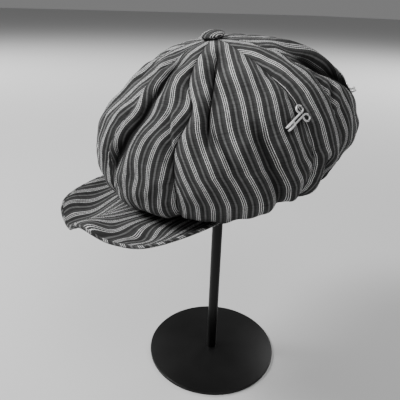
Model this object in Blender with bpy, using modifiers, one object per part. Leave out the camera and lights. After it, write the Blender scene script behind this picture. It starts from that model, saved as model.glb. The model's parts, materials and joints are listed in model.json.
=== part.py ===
"""Full newsboy cap in striped cloth, sitting on a plain metal hat stand.

Lengths are in metres and +Z is up. The origin is the middle of the stand's underside.
The peak points towards -Y, and the wearer's left side is +X. The cap is modelled in a
frame of its own, level and centred on the crown's widest line, and an empty then tips
it forward and sets it down on the stand.

A turn is an angle about the cap's own axis in degrees: 0 is the front, 90 the wearer's
left. Down is the share of the way along a crown panel, 0 at the button and 1 at the band.
"""

from collections import namedtuple
from math import copysign, cos, degrees, exp, pi, radians, sin

import bpy
from mathutils import Matrix, Vector
from mathutils.bvhtree import BVHTree

UP = Vector((0.0, 0.0, 1.0))

# Clearance between pieces that touch, and between two panels at a seam
GAP = 0.0003
SEAM_GAP = 0.0006

# Stand
BASE_DIAMETER = 0.170
BASE_THICKNESS = 0.0035
BASE_EDGE = 0.0008
POST_DIAMETER = 0.013
POST_LENGTH = 0.385
TOP_DIAMETER = 0.096
TOP_RIM = 0.004
TOP_DOME = 0.013
BASE_STEPS = 72
POST_STEPS = 32
TOP_STEPS = 40
DOME_STEPS = 6

# Cap as a whole
CROWN_WIDTH = 0.274
CROWN_RISE = 0.087
CROWN_DROP = 0.053
CLOTH = 0.002
CAP_TIP = 12.0
CAP_FORWARD = 0.001
CAP_LEFT = 0.002

# Head opening and its band
HEAD_LENGTH = 0.198
HEAD_WIDTH = 0.174
HEAD_FORWARD = 0.004
BAND_WALL = 0.0025
BAND_ABOVE = 0.006
BAND_BELOW = 0.020
BAND_STEPS = 56

# Crown panels: their mesh, how they puff up between seams and sink at them, and the
# levels over which that begins and ends
PANEL_COLUMNS = 12
PANEL_ROWS = 15
PANEL_START = 0.018
PANEL_PUFF = 0.0050
PUFF_ROUND = 0.7
PUFF_BEGINS = 0.30
PUFF_ENDS = 0.16
SEAM_SINK = 0.0030
SEAM_WIDTH = 0.0075
CREASE_ANGLE = 50.0

# Swellings and folds: levels over which they begin and end, share of its length over
# which a fold fades at each end, and share of its depth that it keeps there
RELIEF_BEGINS = 0.08
RELIEF_ENDS = 0.18
FOLD_STEPS = 14
FOLD_FADE = 0.25
FOLD_LEAST = 0.15

# Steps of a turn and of a level that slopes of the plain crown are taken over
TURN_STEP = 0.5
DOWN_STEP = 0.01

# Button
BUTTON_DIAMETER = 0.025
BUTTON_HEIGHT = 0.0085
BUTTON_WAIST = 0.4
BUTTON_STEPS = 24
BUTTON_ARC_STEPS = 6

# Peak: its root's place down the band, how square its rim is, how far its mesh stops
# short of its corners, and how its waves grow outwards and die towards the corners
PEAK_WIDTH = 0.174
PEAK_LENGTH = 0.084
PEAK_WALL = 0.003
PEAK_SPAN = 132.0
PEAK_FALL = 0.002
PEAK_ROOT = 0.55
PEAK_SQUARE = 0.75
PEAK_MARGIN = 0.0013
PEAK_FREE = 0.4
PEAK_CORNER = 4
PEAK_COLUMNS = 32
PEAK_ROWS = 7

# Wire hooks sewn to the crown
WIRE_DIAMETER = 0.0018
HOOK_LENGTH = 0.021
HOOK_PITCH = 0.0030
HOOK_LOOP = 0.0062
HOOK_CURL = 0.0034
HOOK_BILL = 0.0040
HOOK_CLEAR = 0.0006
HOOK_LOOP_TURN = 310.0
HOOK_LOOP_STEPS = 8
HOOK_BAR_STEPS = 3
HOOK_CURL_STEPS = 4

# Levels of the crown's widest line and of its hem, where it turns in under itself
WIDEST_DOWN = 0.56
HEM_DOWN = 0.82

# Share of the half width or of the rise and drop that the crown has at each level, and
# how far it has gathered in from its own round to the oval of the band
Section = namedtuple("Section", "down spread rise gather")
CROWN_SECTIONS = (
    Section(0.00, 0.03, 1.000, 0.00),
    Section(0.10, 0.23, 0.960, 0.00),
    Section(0.22, 0.48, 0.850, 0.00),
    Section(0.34, 0.73, 0.660, 0.00),
    Section(0.45, 0.91, 0.390, 0.00),
    Section(WIDEST_DOWN, 1.000, 0.000, 0.00),
    Section(0.67, 0.990, -0.440, 0.00),
    Section(0.77, 0.940, -0.800, 0.04),
    Section(0.87, 0.860, -1.000, 0.36),
    Section(1.00, 0.860, -0.900, 1.00),
)

# Where each seam runs, as turns at the button, at the widest line and from the hem on
Seam = namedtuple("Seam", "button widest band")
SEAMS = (
    Seam(0.0, 3.0, 0.0),
    Seam(38.0, 38.0, 31.0),
    Seam(88.0, 92.0, 94.0),
    Seam(122.0, 118.0, 124.0),
    Seam(180.0, 175.0, 180.0),
    Seam(225.0, 225.0, 225.0),
    Seam(270.0, 270.0, 270.0),
    Seam(315.0, 315.0, 315.0),
)

# Soft swellings and hollows: place, size, and height as a share of the half width
Swell = namedtuple("Swell", "turn down turn_size down_size height")
SWELLS = (
    Swell(180.0, 0.40, 60.0, 0.22, 0.015),
    Swell(0.0, 0.34, 50.0, 0.20, -0.020),
    Swell(75.0, 0.72, 26.0, 0.16, 0.020),
    Swell(250.0, 0.62, 26.0, 0.16, 0.030),
    Swell(300.0, 0.45, 24.0, 0.18, -0.025),
    Swell(140.0, 0.80, 50.0, 0.10, -0.070),
    Swell(330.0, 0.34, 40.0, 0.14, -0.050),
)

# Folds that run from one place to another: width and depth as shares of the half width
Fold = namedtuple("Fold", "turn down end_turn end_down width depth")
FOLDS = (
    Fold(20.0, 0.12, 16.0, 0.72, 0.060, 0.075),
    Fold(62.0, 0.10, 56.0, 0.50, 0.035, 0.030),
    Fold(82.0, 0.60, 92.0, 0.86, 0.060, 0.040),
    Fold(142.0, 0.18, 118.0, 0.42, 0.065, 0.060),
    Fold(200.0, 0.20, 206.0, 0.64, 0.060, 0.045),
    Fold(248.0, 0.22, 240.0, 0.55, 0.055, 0.040),
    Fold(292.0, 0.24, 298.0, 0.74, 0.060, 0.050),
    Fold(338.0, 0.20, 342.0, 0.60, 0.055, 0.035),
)

# Waves of the peak: place and size as shares of its half span and of the way out, with
# the lift and the pull away from the band at their strongest, as shares of its length
Wave = namedtuple("Wave", "side reach side_size reach_size lift pull")
PEAK_WAVES = (
    Wave(-0.84, 0.90, 0.26, 0.60, 0.170, 0.05),
    Wave(-0.50, 1.00, 0.30, 0.70, 0.020, 0.27),
    Wave(-0.34, 0.75, 0.18, 0.50, -0.060, 0.00),
    Wave(-0.20, 1.00, 0.13, 0.50, -0.120, 0.00),
    Wave(0.04, 0.90, 0.10, 0.50, 0.090, 0.00),
    Wave(0.24, 0.60, 0.20, 0.30, 0.060, 0.00),
    Wave(0.30, 1.00, 0.34, 0.26, -0.085, -0.18),
)

# Wire hooks: place and heading, as degrees from straight down the panel
Hook = namedtuple("Hook", "name turn down heading")
HOOKS = (
    Hook("hook_side", 92.0, 0.46, 78.0),
    Hook("hook_back", 145.0, 0.51, 105.0),
)

BLACK_METAL = ("black_metal", (0.012, 0.012, 0.013), 0.38, 1.0)
STRIPED_CLOTH = ("striped_cloth", (0.10, 0.10, 0.10), 0.92, 0.0)
BRIGHT_METAL = ("bright_metal", (0.75, 0.75, 0.76), 0.22, 1.0)


def clear_scene():
    """Remove what is in the file before the model is made."""
    for thing in list(bpy.data.objects):
        bpy.data.objects.remove(thing, do_unlink=True)


def make_material(name, colour, roughness, metallic):
    """A Principled material in one plain finish."""
    material = bpy.data.materials.new(name)
    material.use_nodes = True
    shader = material.node_tree.nodes["Principled BSDF"]
    shader.inputs["Base Color"].default_value = (*colour, 1.0)
    shader.inputs["Roughness"].default_value = roughness
    shader.inputs["Metallic"].default_value = metallic
    return material


def make_object(name, data, collection, finish, parent=None):
    """Put a mesh or curve in the collection, with its own copy of a finish."""
    thing = bpy.data.objects.new(name, data)
    collection.objects.link(thing)
    material = make_material(f"{name}_{finish[0]}", *finish[1:])
    data.materials.append(material)
    thing.parent = parent
    return thing


def bump(offset, size):
    """A smooth hump, 1 in the middle and near 0 two sizes away."""
    return exp(-(offset / size) ** 2)


def ease(share):
    """0 below 0, 1 above 1, and a smooth rise between."""
    share = min(max(share, 0.0), 1.0)
    return share * share * (3.0 - 2.0 * share)


def turn_offset(turn, other):
    """Signed difference of two turns in degrees, at most half a circle."""
    return (turn - other + 180.0) % 360.0 - 180.0


def along(table, at, column):
    """Smooth value of one column of a table whose first column rises, at a place in it."""
    last = len(table) - 1
    row = 0
    while row < last - 1 and table[row + 1][0] < at:
        row += 1
    rows = [table[min(max(row + step, 0), last)] for step in (-1, 0, 1, 2)]
    spots = [entry[0] for entry in rows]
    values = [getattr(entry, column) for entry in rows]
    width = spots[2] - spots[1]
    share = (at - spots[1]) / width
    slopes = [
        (values[step + 1] - values[step - 1]) / (spots[step + 1] - spots[step - 1]) * width
        for step in (1, 2)
    ]
    square, cube = share ** 2, share ** 3
    return (
        (2 * cube - 3 * square + 1) * values[1]
        + (cube - 2 * square + share) * slopes[0]
        + (3 * square - 2 * cube) * values[2]
        + (cube - square) * slopes[1]
    )


def heading(turn):
    """Level unit vector that points from the cap's axis towards a turn."""
    return Vector((sin(radians(turn)), -cos(radians(turn)), 0.0))


def band_point(turn, grow=0.0):
    """Point of the band's outer face, seen from above, at a turn about the opening."""
    way = heading(turn)
    return Vector((
        way.x * (HEAD_WIDTH / 2 + grow),
        way.y * (HEAD_LENGTH / 2 + grow) - HEAD_FORWARD,
        0.0,
    ))


def crown_base(turn, down):
    """Point of the crown's outer face before seams, swellings and folds."""
    spread = along(CROWN_SECTIONS, down, "spread") * CROWN_WIDTH / 2
    rise = along(CROWN_SECTIONS, down, "rise")
    gather = along(CROWN_SECTIONS, down, "gather")
    height = rise * (CROWN_RISE if rise > 0 else CROWN_DROP)
    ring = heading(turn) * spread
    place = ring.lerp(band_point(turn, GAP), gather)
    place.z = height
    return place


def crown_normal(turn, down):
    """Outward unit normal of the plain crown."""
    level = min(max(down, DOWN_STEP), 1.0 - DOWN_STEP)
    across = crown_base(turn + TURN_STEP, level) - crown_base(turn - TURN_STEP, level)
    lengthwise = crown_base(turn, level + DOWN_STEP) - crown_base(turn, level - DOWN_STEP)
    return lengthwise.cross(across).normalized()


def fold_line(fold):
    """Points of the plain crown along a fold, each with its share of the way."""
    points = []
    for index in range(FOLD_STEPS + 1):
        share = index / FOLD_STEPS
        turn = fold.turn + turn_offset(fold.end_turn, fold.turn) * share
        down = fold.down + (fold.end_down - fold.down) * share
        points.append((share, crown_base(turn, down)))
    return points


FOLD_LINES = [(fold, fold_line(fold)) for fold in FOLDS]


def crown_relief(turn, down):
    """Height of swellings and folds over the plain crown."""
    half = CROWN_WIDTH / 2
    height = 0.0
    for swell in SWELLS:
        sideways = bump(turn_offset(turn, swell.turn), swell.turn_size)
        height += swell.height * half * sideways * bump(down - swell.down, swell.down_size)
    place = crown_base(turn, down)
    for fold, line in FOLD_LINES:
        distance, share = min(((place - point).length, share) for share, point in line)
        ends = ease(share / FOLD_FADE) * ease((1.0 - share) / FOLD_FADE)
        depth = fold.depth * half * max(ends, FOLD_LEAST)
        height -= depth * bump(distance, fold.width * half)
    return height * ease(down / RELIEF_BEGINS) * ease((1.0 - down) / RELIEF_ENDS)


def seam_turn(number, down):
    """Turn of a seam at a level of the crown."""
    seam = SEAMS[number % len(SEAMS)]
    above = ease(down / WIDEST_DOWN)
    below = ease((down - WIDEST_DOWN) / (HEM_DOWN - WIDEST_DOWN))
    turn = seam.button + (seam.widest - seam.button) * above + (seam.band - seam.widest) * below
    return turn + 360.0 * (number // len(SEAMS))


def panel_point(number, across, down, depth=0.0):
    """Point of a panel at a depth in its wall, across being 0 and 1 at its two seams."""
    first, second = seam_turn(number, down), seam_turn(number + 1, down)
    middle = crown_base((first + second) / 2, down)
    radius = middle.xy.length
    inset = degrees(SEAM_GAP / 2 / radius)
    first, second = first + inset, second - inset
    turn = first + (second - first) * across
    width = radians(second - first) * radius
    from_seam = min(across, 1.0 - across) * width
    puff = PANEL_PUFF * (4.0 * across * (1.0 - across)) ** PUFF_ROUND
    sink = SEAM_SINK * exp(-from_seam / SEAM_WIDTH)
    level = ease(down / PUFF_BEGINS) * ease((1.0 - down) / PUFF_ENDS)
    height = (puff - sink) * level + crown_relief(turn, down) - depth
    return crown_base(turn, down) + crown_normal(turn, down) * height


def grid_faces(first, columns, rows, flip):
    """Faces of a grid of points that start at an index, row after row."""
    faces = []
    for row in range(rows):
        for column in range(columns):
            corner = first + row * (columns + 1) + column
            face = (corner, corner + columns + 1, corner + columns + 2, corner + 1)
            faces.append(face[::-1] if flip else face)
    return faces


def make_panel(number, collection, parent):
    """One of the crown's gores, from the button to the band.

    It is lofted between its outer and inner faces along the plain crown's normals, so
    the walls of two panels stay parallel where they meet at a seam.
    """
    columns, rows = PANEL_COLUMNS, PANEL_ROWS
    points = []
    for depth in (0.0, CLOTH):
        for row in range(rows + 1):
            down = PANEL_START + (1.0 - PANEL_START) * row / rows
            for column in range(columns + 1):
                points.append(panel_point(number, column / columns, down, depth))
    layer = (columns + 1) * (rows + 1)
    faces = grid_faces(0, columns, rows, False) + grid_faces(layer, columns, rows, True)
    rim = list(range(columns + 1))
    rim += [row * (columns + 1) + columns for row in range(1, rows + 1)]
    rim += [rows * (columns + 1) + column for column in range(columns - 1, -1, -1)]
    rim += [row * (columns + 1) for row in range(rows - 1, 0, -1)]
    for index, corner in enumerate(rim):
        after = rim[(index + 1) % len(rim)]
        faces.append((corner, after, layer + after, layer + corner))
    name = f"crown_panel_{number + 1}"
    mesh = bpy.data.meshes.new(name)
    mesh.from_pydata(points, [], faces)
    mesh.shade_smooth()
    mesh.set_sharp_from_angle(angle=radians(CREASE_ANGLE))
    return make_object(name, mesh, collection, STRIPED_CLOTH, parent)


def make_turned(name, profile, collection, finish, parent, steps):
    """A body turned about Z from a profile that runs down its outer side."""
    mesh = bpy.data.meshes.new(name)
    points = [(radius, 0.0, height) for radius, height in profile]
    edges = [(index, index + 1) for index in range(len(points) - 1)]
    mesh.from_pydata(points, edges, [])
    body = make_object(name, mesh, collection, finish, parent)
    screw = body.modifiers.new("Turn", "SCREW")
    screw.steps = steps
    screw.render_steps = steps
    screw.use_merge_vertices = True
    screw.merge_threshold = 0.00001
    screw.use_smooth_shade = True
    return body


def arc(centre, reach, start, end, steps):
    """Profile points on an ellipse, between two angles in degrees from level."""
    points = []
    for index in range(steps + 1):
        angle = radians(start + (end - start) * index / steps)
        points.append((centre[0] + reach[0] * cos(angle), centre[1] + reach[1] * sin(angle)))
    return points


def make_band(collection, parent):
    """The cloth band round the head opening, under the crown."""
    top = crown_base(0.0, 1.0).z + BAND_ABOVE
    bottom = crown_base(0.0, 1.0).z - BAND_BELOW
    mesh = bpy.data.meshes.new("headband")
    points = []
    for height in (top, bottom):
        for index in range(BAND_STEPS):
            point = band_point(360.0 * index / BAND_STEPS)
            points.append((point.x, point.y, height))
    faces = []
    for index in range(BAND_STEPS):
        after = (index + 1) % BAND_STEPS
        faces.append((index, index + BAND_STEPS, after + BAND_STEPS, after))
    mesh.from_pydata(points, [], faces)
    mesh.shade_smooth()
    band = make_object("headband", mesh, collection, STRIPED_CLOTH, parent)
    solid = band.modifiers.new("Wall", "SOLIDIFY")
    solid.thickness = BAND_WALL
    solid.offset = -1.0
    solid.use_even_offset = True
    return band


def peak_point(side, out):
    """Point of the peak's upper face: side -1 to 1 along its root, out 0 to 1."""
    root = band_point(side * PEAK_SPAN / 2, GAP)
    root.z = crown_base(0.0, 1.0).z - BAND_BELOW * PEAK_ROOT
    end = band_point(PEAK_SPAN / 2, GAP)
    front = band_point(0.0, GAP)
    angle = side * pi / 2
    rim = Vector((
        copysign(PEAK_WIDTH / 2 * abs(sin(angle)) ** PEAK_SQUARE, side),
        end.y + (front.y - PEAK_LENGTH - end.y) * cos(angle) ** PEAK_SQUARE,
        root.z,
    ))
    place = root.lerp(rim, out)
    away = (rim - root).normalized()
    free = PEAK_LENGTH * ease(out / PEAK_FREE) * (1.0 - side ** PEAK_CORNER)
    place.z -= PEAK_FALL * out * (rim - root).length / PEAK_LENGTH
    for row in PEAK_WAVES:
        share = bump(side - row.side, row.side_size) * bump(out - row.reach, row.reach_size)
        place += free * share * (row.lift * UP + row.pull * away)
    return place


def make_peak(collection, parent):
    """The soft peak, one padded wall from the band's front to its rim."""
    points = []
    reach = 1.0 - PEAK_MARGIN / (PEAK_WIDTH / 2)
    for row in range(PEAK_ROWS + 1):
        for column in range(PEAK_COLUMNS + 1):
            side = reach * (2.0 * column / PEAK_COLUMNS - 1.0)
            points.append(peak_point(side, row / PEAK_ROWS))
    mesh = bpy.data.meshes.new("peak")
    mesh.from_pydata(points, [], grid_faces(0, PEAK_COLUMNS, PEAK_ROWS, False))
    mesh.shade_smooth()
    peak = make_object("peak", mesh, collection, STRIPED_CLOTH, parent)
    solid = peak.modifiers.new("Wall", "SOLIDIFY")
    solid.thickness = PEAK_WALL
    solid.offset = -1.0
    solid.use_quality_normals = True


def shape_of(things, in_world):
    """Search tree and points of evaluated things, in the world or in their own frame."""
    bpy.context.view_layer.update()
    depsgraph = bpy.context.evaluated_depsgraph_get()
    points, faces = [], []
    for thing in things:
        shape = thing.evaluated_get(depsgraph)
        mesh = shape.to_mesh()
        place = thing.matrix_world if in_world else Matrix()
        first = len(points)
        points += [place @ vertex.co for vertex in mesh.vertices]
        faces += [[first + index for index in face.vertices] for face in mesh.polygons]
        shape.to_mesh_clear()
    return BVHTree.FromPolygons(points, faces), points


def ways_to(tree, points, way):
    """Distances along a way from points to a search tree, where they meet it."""
    hits = [tree.ray_cast(point, way) for point in points]
    return [hit[3] for hit in hits if hit[0] is not None]


def make_button(panels, collection, parent):
    """The covered button, seated on the cloth where the panels meet."""
    radius = BUTTON_DIAMETER / 2
    above = CROWN_RISE + BUTTON_HEIGHT
    spots = []
    for ring in range(BUTTON_ARC_STEPS):
        for index in range(BUTTON_STEPS):
            spot = heading(360.0 * index / BUTTON_STEPS) * radius * (ring + 1) / BUTTON_ARC_STEPS
            spots.append(Vector((spot.x, spot.y, above)))
    cloth, _ = shape_of(panels, False)
    seat = above - min(ways_to(cloth, spots, -UP)) + GAP
    lower = BUTTON_HEIGHT * BUTTON_WAIST
    middle = seat + lower
    profile = arc((0.0, middle), (radius, BUTTON_HEIGHT - lower), 90.0, 0.0, BUTTON_ARC_STEPS)
    profile += arc((radius - lower, middle), (lower, lower), 0.0, -90.0, BUTTON_ARC_STEPS // 2)[1:]
    profile.append((0.0, seat))
    make_turned("crown_button", profile, collection, STRIPED_CLOTH, parent, BUTTON_STEPS)


def hook_route():
    """Middle line of a hook's wire, level, its loops at the start and its bill to -X.

    One wire makes a loop, runs out beside the other side, curls up and back over as the
    bill, turns there, and comes back the same way to a second loop.
    """
    half = HOOK_PITCH / 2
    loop = HOOK_LOOP / 2
    curl = HOOK_CURL / 2
    side = []
    for index in range(HOOK_LOOP_STEPS + 1):
        angle = radians(HOOK_LOOP_TURN * (1.0 - index / HOOK_LOOP_STEPS))
        side.append(Vector((loop * sin(angle), half + loop * (1.0 - cos(angle)), 0.0)))
    for index in range(1, HOOK_BAR_STEPS + 1):
        side.append(Vector((-HOOK_LENGTH * index / HOOK_BAR_STEPS, half, 0.0)))
    for index in range(1, HOOK_CURL_STEPS + 1):
        angle = pi * index / HOOK_CURL_STEPS
        side.append(Vector((-HOOK_LENGTH - curl * sin(angle), half, curl * (1.0 - cos(angle)))))
    tip = HOOK_BILL - HOOK_LENGTH
    for index in range(HOOK_CURL_STEPS):
        angle = pi / 2 * index / HOOK_CURL_STEPS
        side.append(Vector((tip + half * sin(angle), half * cos(angle), HOOK_CURL)))
    bend = Vector((tip + half, 0.0, HOOK_CURL))
    mirrored = [Vector((point.x, -point.y, point.z)) for point in reversed(side)]
    return side + [bend] + mirrored


def make_hook(hook, panels, collection, parent):
    """A bent wire hook that lies flat on the crown, seated on its highest cloth."""
    place = crown_base(hook.turn, hook.down)
    up = crown_normal(hook.turn, hook.down)
    downwards = crown_base(hook.turn, hook.down + DOWN_STEP) - place
    downwards = (downwards - up * downwards.dot(up)).normalized()
    length = Matrix.Rotation(radians(-hook.heading), 3, up) @ downwards
    frame = Matrix((-length, up.cross(-length), up)).transposed()
    start = place + up * HOOK_LENGTH
    points = [start + frame @ point for point in hook_route()]
    cloth, _ = shape_of(panels, False)
    drop = min(ways_to(cloth, points, -up)) - WIRE_DIAMETER / 2 - HOOK_CLEAR

    curve = bpy.data.curves.new(hook.name, "CURVE")
    curve.dimensions = "3D"
    curve.bevel_depth = WIRE_DIAMETER / 2
    curve.bevel_resolution = 2
    curve.use_fill_caps = True
    spline = curve.splines.new("POLY")
    spline.points.add(len(points) - 1)
    for knot, point in zip(spline.points, points):
        knot.co = (*(point - up * drop), 1.0)
    return make_object(hook.name, curve, collection, BRIGHT_METAL, parent)


def make_stand(collection):
    """Base disc, post and the domed plate that the cap sits on."""
    radius = BASE_DIAMETER / 2
    base_profile = [(0.0, BASE_THICKNESS), (radius - BASE_EDGE, BASE_THICKNESS)]
    base_profile += [(radius, BASE_THICKNESS - BASE_EDGE), (radius, 0.0), (0.0, 0.0)]
    make_turned("stand_base", base_profile, collection, BLACK_METAL, None, BASE_STEPS)

    post_bottom = BASE_THICKNESS + GAP
    post_top = post_bottom + POST_LENGTH
    radius = POST_DIAMETER / 2
    post_profile = [(0.0, post_top), (radius, post_top), (radius, post_bottom), (0.0, post_bottom)]
    make_turned("stand_post", post_profile, collection, BLACK_METAL, None, POST_STEPS)

    plate_bottom = post_top + GAP
    radius = TOP_DIAMETER / 2
    shoulder = plate_bottom + TOP_RIM
    profile = arc((0.0, shoulder), (radius, TOP_DOME), 90.0, 0.0, DOME_STEPS)
    profile += [(radius, plate_bottom), (0.0, plate_bottom)]
    return make_turned("stand_top", profile, collection, BLACK_METAL, None, TOP_STEPS)


def seat_cap(cap, panels, top):
    """Lower the cap until its inside rests on the domed plate, less the clearance."""
    cloth, cloth_points = shape_of(panels, True)
    plate, plate_points = shape_of([top], True)
    drops = ways_to(cloth, plate_points, UP) + ways_to(plate, cloth_points, -UP)
    cap.location.z -= min(drops) - GAP


def main():
    """Build the stand, then the cap, and set the cap on the stand."""
    clear_scene()
    collection = bpy.data.collections.new("newsboy_cap_on_stand")
    bpy.context.scene.collection.children.link(collection)
    top = make_stand(collection)

    cap = bpy.data.objects.new("cap_frame", None)
    collection.objects.link(cap)
    start = BASE_THICKNESS + POST_LENGTH + CROWN_RISE
    cap.matrix_world = (
        Matrix.Translation((CAP_LEFT, -CAP_FORWARD, start))
        @ Matrix.Rotation(radians(CAP_TIP), 4, "X")
    )
    panels = [make_panel(number, collection, cap) for number in range(len(SEAMS))]
    make_band(collection, cap)
    make_peak(collection, cap)
    make_button(panels, collection, cap)
    for hook in HOOKS:
        make_hook(hook, panels, collection, cap)
    seat_cap(cap, panels, top)


main()
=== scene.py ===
"""A full newsboy cap in striped cloth on a plain black stand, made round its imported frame.

Lengths are in metres and +Z is up. The peak points towards -Y and the wearer's left side
is +X. The cap is shaped in a frame of its own, level and centred on the crown's widest
line, which is then tipped forward and set down on the stand. A turn is an angle about the
cap's own axis in degrees: 0 is the front, 90 the wearer's left. Down is the share of the
way along a crown panel, 0 at the button and 1 at the band.
"""

import json
from collections import namedtuple
from math import cos, pi, radians, sin

import bmesh
import bpy
import numpy as np
from bpy.props import FloatProperty, FloatVectorProperty, IntProperty, PointerProperty
from mathutils import Matrix, Vector
from mathutils.bvhtree import BVHTree

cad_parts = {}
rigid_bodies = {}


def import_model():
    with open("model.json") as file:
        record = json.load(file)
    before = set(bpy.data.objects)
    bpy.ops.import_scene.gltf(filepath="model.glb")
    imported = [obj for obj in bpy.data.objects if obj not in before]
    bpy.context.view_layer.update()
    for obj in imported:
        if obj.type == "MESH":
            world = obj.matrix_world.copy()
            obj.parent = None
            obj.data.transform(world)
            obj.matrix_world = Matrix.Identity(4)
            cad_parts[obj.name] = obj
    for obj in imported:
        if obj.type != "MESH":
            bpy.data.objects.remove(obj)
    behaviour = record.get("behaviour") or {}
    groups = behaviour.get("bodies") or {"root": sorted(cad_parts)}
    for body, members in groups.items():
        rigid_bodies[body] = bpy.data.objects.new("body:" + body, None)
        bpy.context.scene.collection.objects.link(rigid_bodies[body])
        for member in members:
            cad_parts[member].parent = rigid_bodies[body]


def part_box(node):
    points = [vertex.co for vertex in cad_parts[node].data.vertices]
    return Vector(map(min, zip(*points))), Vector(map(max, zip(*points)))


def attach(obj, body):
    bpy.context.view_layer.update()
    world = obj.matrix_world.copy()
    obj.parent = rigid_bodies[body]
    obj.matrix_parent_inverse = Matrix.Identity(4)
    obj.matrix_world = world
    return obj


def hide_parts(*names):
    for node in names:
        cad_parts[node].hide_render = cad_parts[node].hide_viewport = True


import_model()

bl_info = {
    "name": "Newsboy cap on a stand",
    "version": (1, 0, 0),
    "blender": (4, 5, 0),
    "location": "View3D > Sidebar > Cap",
    "description": "Builds a gored cap in striped cloth on a plain display stand",
    "category": "Add Mesh",
}

UP = Vector((0.0, 0.0, 1.0))

# Levels of the crown's widest line and of its hem, where it turns in under itself
WIDEST_DOWN = 0.56
HEM_DOWN = 0.82

# Share of the half width or of the rise and drop that the crown has at each level, and
# how far it has gathered in from its own round to the oval of the band
Section = namedtuple("Section", "down spread rise gather")
CROWN_SECTIONS = (
    Section(0.00, 0.03, 1.000, 0.00),
    Section(0.10, 0.23, 0.960, 0.00),
    Section(0.22, 0.48, 0.850, 0.00),
    Section(0.34, 0.73, 0.660, 0.00),
    Section(0.45, 0.91, 0.390, 0.00),
    Section(WIDEST_DOWN, 1.000, 0.000, 0.00),
    Section(0.67, 0.990, -0.440, 0.00),
    Section(0.77, 0.940, -0.800, 0.04),
    Section(0.87, 0.860, -1.000, 0.36),
    Section(1.00, 0.860, -0.900, 1.00),
)

# Where each seam runs, as turns at the button, at the widest line and from the hem on,
# and how far it sways to one side part of the way down
SWAY_DOWN = 0.37
SWAY_SIZE = 0.08
Seam = namedtuple("Seam", "button widest band sway")
SEAMS = (
    Seam(0.0, -1.0, -2.0, 7.0),
    Seam(38.0, 37.0, 34.0, 7.0),
    Seam(88.0, 91.0, 86.0, 0.0),
    Seam(118.0, 108.0, 106.0, 2.0),
    Seam(170.0, 163.0, 163.0, 0.0),
    Seam(217.0, 214.0, 214.0, 3.0),
    Seam(264.0, 263.0, 263.0, 0.0),
    Seam(312.0, 311.0, 311.0, -3.0),
)

# Soft swellings and hollows: place, size, and height as a share of the half width
Swell = namedtuple("Swell", "turn down turn_size down_size height")
SWELLS = (
    Swell(180.0, 0.40, 60.0, 0.22, 0.015),
    Swell(0.0, 0.34, 50.0, 0.20, -0.020),
    Swell(75.0, 0.72, 26.0, 0.16, 0.020),
    Swell(250.0, 0.62, 26.0, 0.16, 0.030),
    Swell(300.0, 0.45, 24.0, 0.18, -0.025),
    Swell(140.0, 0.80, 50.0, 0.10, -0.070),
    Swell(330.0, 0.34, 40.0, 0.14, -0.050),
    Swell(165.0, 0.36, 34.0, 0.14, -0.050),
    Swell(115.0, 0.70, 18.0, 0.10, -0.036),
    Swell(138.0, 0.53, 14.0, 0.07, -0.024),
    Swell(152.0, 0.40, 18.0, 0.08, -0.036),
    Swell(192.0, 0.20, 24.0, 0.08, -0.032),
    Swell(354.0, 0.72, 18.0, 0.08, 0.040),
    Swell(32.0, 0.80, 14.0, 0.06, 0.020),
)

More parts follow.
